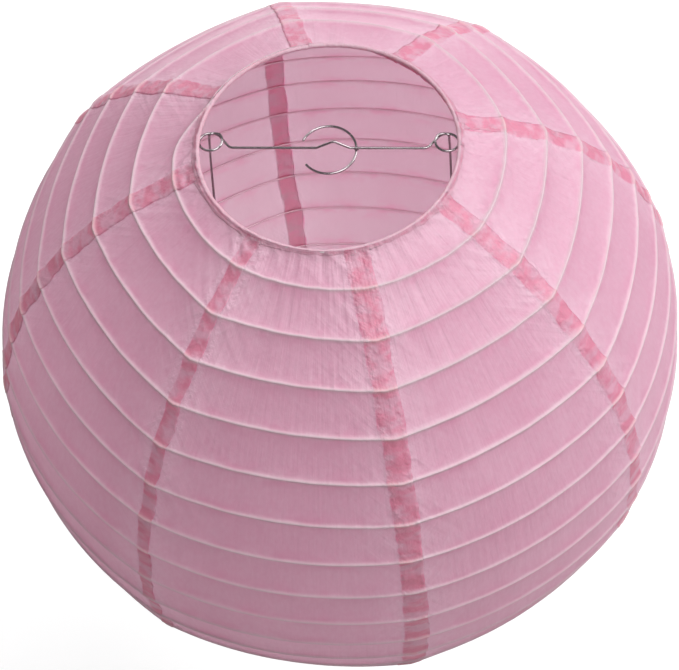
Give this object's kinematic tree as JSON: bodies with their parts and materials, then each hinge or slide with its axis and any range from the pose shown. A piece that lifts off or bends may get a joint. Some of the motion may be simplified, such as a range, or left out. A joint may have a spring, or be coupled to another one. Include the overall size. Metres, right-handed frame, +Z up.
{
  "type": "paper lantern",
  "caption": "Round collapsible lantern shade: seamed paper gores over a spiral rib wire between wire rings, held open by a sprung wire expander with a hanging kink and a split cord ring.",
  "frame": {"origin": "on the shell's vertical axis, level with the peak of the crossbar's kink where a hook or line holds the lantern, 3 mm from that peak", "axes": "+Z up along the shell's axis; +X along the crossbar towards the side where the split cord ring is closed; +Y away from the viewer, the side the loops stand towards"},
  "size_m": [0.3968, 0.3968, 0.3601],
  "materials": {
    "paper": "satin",
    "expander_wire": "bright",
    "rib_wire": "satin"
  },
  "bodies": {
    "expander": {"crossbar": "expander_wire", "cord_ring": "expander_wire"},
    "left_leg": {"left_leg": "expander_wire"},
    "right_leg": {"right_leg": "expander_wire"},
    "shell": {"top_ring": "rib_wire", "rib_spiral": "rib_wire", "gore_1": "paper", "gore_2": "paper", "gore_3": "paper", "gore_4": "paper", "gore_5": "paper", "gore_6": "paper", "gore_7": "paper", "gore_8": "paper"},
    "bottom": {"bottom_ring": "rib_wire"}
  },
  "joints": [
    {"name": "left_leg_squeeze", "type": "hinge", "parent": "expander", "child": "left_leg", "pos_m": [-0.0634, 0.0034, -0.0056], "axis": [0, -1, 0], "range_deg": [0, 9], "stiffness_Nm_per_rad": 0.28, "springref_deg": -5.73},
    {"name": "right_leg_squeeze", "type": "hinge", "parent": "expander", "child": "right_leg", "pos_m": [0.0634, 0.0034, -0.0056], "axis": [0, 1, 0], "range_deg": [0, 9], "stiffness_Nm_per_rad": 0.28, "springref_deg": -5.73},
    {"name": "shell_lift_off", "type": "slide", "parent": "expander", "child": "shell", "axis": [0, 0, -1], "range_m": [0, 0.38]},
    {"name": "shell_collapse", "type": "slide", "parent": "shell", "child": "bottom", "axis": [0, 0, 1], "range_m": [0, 0.336], "deforming": ["gore_1", "gore_2", "gore_3", "gore_4", "gore_5", "gore_6", "gore_7", "gore_8", "rib_spiral"]}
  ]
}
